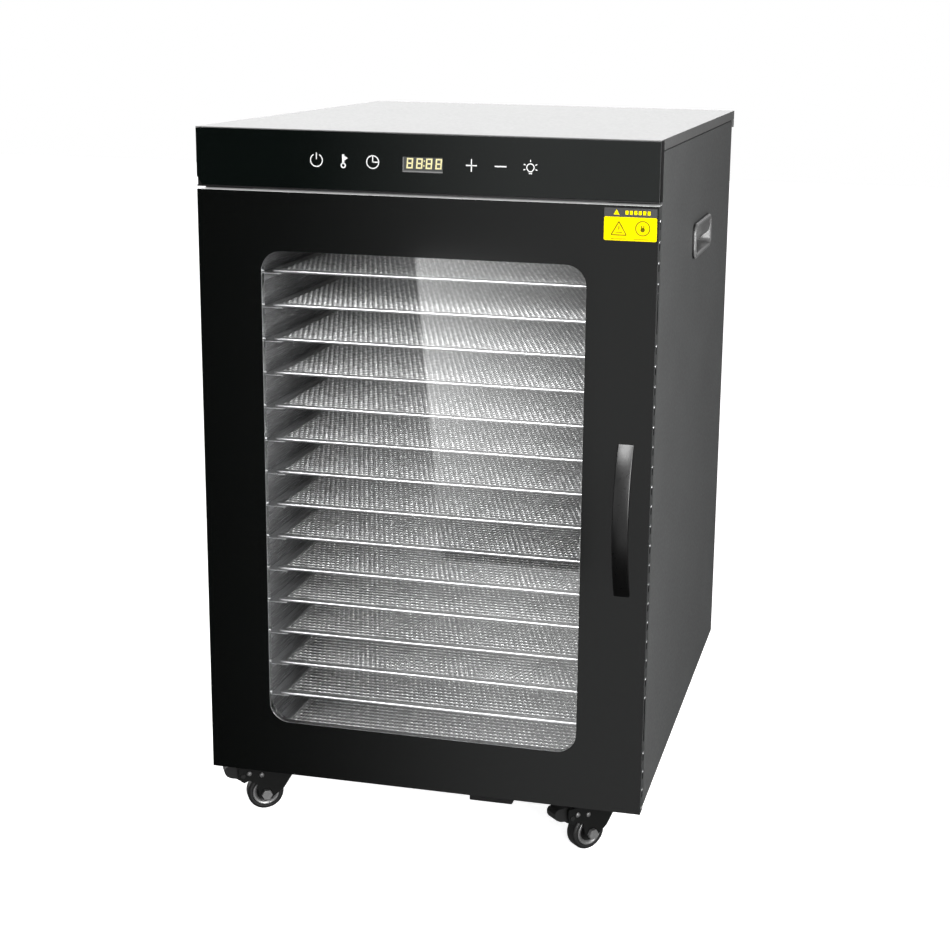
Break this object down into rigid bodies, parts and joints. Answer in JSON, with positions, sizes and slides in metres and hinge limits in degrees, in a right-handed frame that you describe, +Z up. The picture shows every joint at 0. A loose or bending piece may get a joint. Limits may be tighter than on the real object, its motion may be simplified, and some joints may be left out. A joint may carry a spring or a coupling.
{
  "type": "food dehydrator",
  "caption": "Tall food dehydrator cabinet with a glass door, removable mesh trays, a touch control strip on top, recessed side handles and swivel castors.",
  "frame": {"origin": "centre of the whole object's box, on the floor under the castors", "axes": "+Z up, the door faces -Y, +X is the handle side of the door"},
  "size_m": [0.56, 0.718, 0.881],
  "materials": {
    "shell_steel": "fine satin powder coat",
    "cover_steel": "satin brushed, dark titanium tint",
    "stainless": "brushed",
    "mesh_steel": "woven wire, bright",
    "fascia_steel": "satin",
    "black_glass": "high gloss",
    "door_black": "gloss black",
    "clear_glass": "clear tempered",
    "handle_black": "black chrome, glossy",
    "black_plastic": "fine texture",
    "castor_steel": "black e-coat",
    "tyre_rubber": "moulded",
    "zinc_steel": "zinc plated",
    "circuit_board": "solder mask",
    "silicone": "grey silicone",
    "diffuser": "opal",
    "display": "smoked window, lit digits",
    "element_steel": "heat tinted"
  },
  "bodies": {
    "cabinet": {"castor_plates": "zinc_steel", "left_side_panel": "shell_steel", "right_side_panel": "shell_steel", "top_cover": "cover_steel", "base_pan": "shell_steel", "back_panel": "shell_steel", "inner_liner": "stainless", "rear_baffle": "stainless", "tray_runners": "stainless", "heating_elements": "element_steel", "fan_motor_upper": "zinc_steel", "fan_motor_lower": "zinc_steel", "fascia_housing": "fascia_steel", "control_glass": "black_glass", "control_board": "circuit_board", "display_module": "display", "power_board": "circuit_board", "side_handles": "black_plastic", "interior_lamp": "diffuser", "temperature_probe": "stainless", "power_inlet": "black_plastic", "hinge_frame_leaves": "castor_steel", "magnetic_catches": "black_plastic", "cabinet_screws": "zinc_steel", "base_stop": "black_plastic"},
    "door": {"door_panel": "door_black", "door_glass": "clear_glass", "door_inner_frame": "stainless", "door_gasket": "silicone", "door_handle": "handle_black", "hinge_door_leaves": "castor_steel", "door_screws": "zinc_steel"},
    "tray_01": {"tray_01": "mesh_steel"},
    "tray_02": {"tray_02": "mesh_steel"},
    "tray_03": {"tray_03": "mesh_steel"},
    "tray_04": {"tray_04": "mesh_steel"},
    "tray_05": {"tray_05": "mesh_steel"},
    "tray_06": {"tray_06": "mesh_steel"},
    "tray_07": {"tray_07": "mesh_steel"},
    "tray_08": {"tray_08": "mesh_steel"},
    "tray_09": {"tray_09": "mesh_steel"},
    "tray_10": {"tray_10": "mesh_steel"},
    "tray_11": {"tray_11": "mesh_steel"},
    "tray_12": {"tray_12": "mesh_steel"},
    "tray_13": {"tray_13": "mesh_steel"},
    "tray_14": {"tray_14": "mesh_steel"},
    "tray_15": {"tray_15": "mesh_steel"},
    "tray_16": {"tray_16": "mesh_steel"},
    "castor_front_left": {"castor_fork_front_left": "castor_steel"},
    "wheel_front_left": {"castor_wheel_front_left": "tyre_rubber"},
    "castor_front_right": {"castor_fork_front_right": "castor_steel"},
    "wheel_front_right": {"castor_wheel_front_right": "tyre_rubber"},
    "castor_rear_left": {"castor_fork_rear_left": "castor_steel"},
    "wheel_rear_left": {"castor_wheel_rear_left": "tyre_rubber"},
    "castor_rear_right": {"castor_fork_rear_right": "castor_steel"},
    "wheel_rear_right": {"castor_wheel_rear_right": "tyre_rubber"},
    "pedal_left": {"brake_pedal_left": "black_plastic"},
    "pedal_right": {"brake_pedal_right": "black_plastic"},
    "impeller_upper": {"fan_impeller_upper": "zinc_steel"},
    "impeller_lower": {"fan_impeller_lower": "zinc_steel"}
  },
  "joints": [
    {"name": "door_hinge", "type": "hinge", "parent": "cabinet", "child": "door", "pos_m": [-0.2755, -0.3109, 0.442], "axis": [0, 0, -1], "range_deg": [0, 180]},
    {"name": "tray_01_slide", "type": "slide", "parent": "cabinet", "child": "tray_01", "axis": [0, -1, 0], "range_m": [-0.012, 0.012]},
    {"name": "tray_02_slide", "type": "slide", "parent": "cabinet", "child": "tray_02", "axis": [0, -1, 0], "range_m": [-0.012, 0.012]},
    {"name": "tray_03_slide", "type": "slide", "parent": "cabinet", "child": "tray_03", "axis": [0, -1, 0], "range_m": [-0.012, 0.012]},
    {"name": "tray_04_slide", "type": "slide", "parent": "cabinet", "child": "tray_04", "axis": [0, -1, 0], "range_m": [-0.012, 0.012]},
    {"name": "tray_05_slide", "type": "slide", "parent": "cabinet", "child": "tray_05", "axis": [0, -1, 0], "range_m": [-0.012, 0.012]},
    {"name": "tray_06_slide", "type": "slide", "parent": "cabinet", "child": "tray_06", "axis": [0, -1, 0], "range_m": [-0.012, 0.012]},
    {"name": "tray_07_slide", "type": "slide", "parent": "cabinet", "child": "tray_07", "axis": [0, -1, 0], "range_m": [-0.012, 0.012]},
    {"name": "tray_08_slide", "type": "slide", "parent": "cabinet", "child": "tray_08", "axis": [0, -1, 0], "range_m": [-0.012, 0.012]},
    {"name": "tray_09_slide", "type": "slide", "parent": "cabinet", "child": "tray_09", "axis": [0, -1, 0], "range_m": [-0.012, 0.012]},
    {"name": "tray_10_slide", "type": "slide", "parent": "cabinet", "child": "tray_10", "axis": [0, -1, 0], "range_m": [-0.012, 0.012]},
    {"name": "tray_11_slide", "type": "slide", "parent": "cabinet", "child": "tray_11", "axis": [0, -1, 0], "range_m": [-0.012, 0.012]},
    {"name": "tray_12_slide", "type": "slide", "parent": "cabinet", "child": "tray_12", "axis": [0, -1, 0], "range_m": [-0.012, 0.012]},
    {"name": "tray_13_slide", "type": "slide", "parent": "cabinet", "child": "tray_13", "axis": [0, -1, 0], "range_m": [-0.012, 0.012]},
    {"name": "tray_14_slide", "type": "slide", "parent": "cabinet", "child": "tray_14", "axis": [0, -1, 0], "range_m": [-0.012, 0.012]},
    {"name": "tray_15_slide", "type": "slide", "parent": "cabinet", "child": "tray_15", "axis": [0, -1, 0], "range_m": [-0.012, 0.012]},
    {"name": "tray_16_slide", "type": "slide", "parent": "cabinet", "child": "tray_16", "axis": [0, -1, 0], "range_m": [-0.012, 0.012]},
    {"name": "castor_front_left_swivel", "type": "hinge", "parent": "cabinet", "child": "castor_front_left", "pos_m": [-0.212, -0.2645, 0.065], "axis": [0, 0, 1], "continuous": true},
    {"name": "wheel_front_left_spin", "type": "hinge", "parent": "castor_front_left", "child": "wheel_front_left", "pos_m": [-0.22914, -0.2748, 0.0235], "axis": [0.515, -0.8572, 0], "continuous": true},
    {"name": "castor_front_right_swivel", "type": "hinge", "parent": "cabinet", "child": "castor_front_right", "pos_m": [0.212, -0.2645, 0.065], "axis": [0, 0, 1], "continuous": true},
    {"name": "wheel_front_right_spin", "type": "hinge", "parent": "castor_front_right", "child": "wheel_front_right", "pos_m": [0.19836, -0.27913, 0.0235], "axis": [0.7314, -0.682, 0], "continuous": true},
    {"name": "castor_rear_left_swivel", "type": "hinge", "parent": "cabinet", "child": "castor_rear_left", "pos_m": [-0.212, 0.282, 0.065], "axis": [0, 0, 1], "continuous": true},
    {"name": "wheel_rear_left_spin", "type": "hinge", "parent": "castor_rear_left", "child": "wheel_rear_left", "pos_m": [-0.22914, 0.2717, 0.0235], "axis": [0.515, -0.8572, 0], "continuous": true},
    {"name": "castor_rear_right_swivel", "type": "hinge", "parent": "cabinet", "child": "castor_rear_right", "pos_m": [0.212, 0.282, 0.065], "axis": [0, 0, 1], "continuous": true},
    {"name": "wheel_rear_right_spin", "type": "hinge", "parent": "castor_rear_right", "child": "wheel_rear_right", "pos_m": [0.19836, 0.26737, 0.0235], "axis": [0.7314, -0.682, 0], "continuous": true},
    {"name": "brake_pedal_left", "type": "hinge", "parent": "castor_front_left", "child": "pedal_left", "pos_m": [-0.25486, -0.29025, 0.051], "axis": [0.515, -0.8572, 0], "range_deg": [0, 10]},
    {"name": "brake_pedal_right", "type": "hinge", "parent": "castor_front_right", "child": "pedal_right", "pos_m": [0.1779, -0.30107, 0.051], "axis": [0.7314, -0.682, 0], "range_deg": [0, 10]},
    {"name": "fan_upper_spin", "type": "hinge", "parent": "cabinet", "child": "impeller_upper", "pos_m": [0, 0.267, 0.612], "axis": [0, 1, 0], "continuous": true},
    {"name": "fan_lower_spin", "type": "hinge", "parent": "cabinet", "child": "impeller_lower", "pos_m": [0, 0.267, 0.282], "axis": [0, 1, 0], "continuous": true}
  ]
}
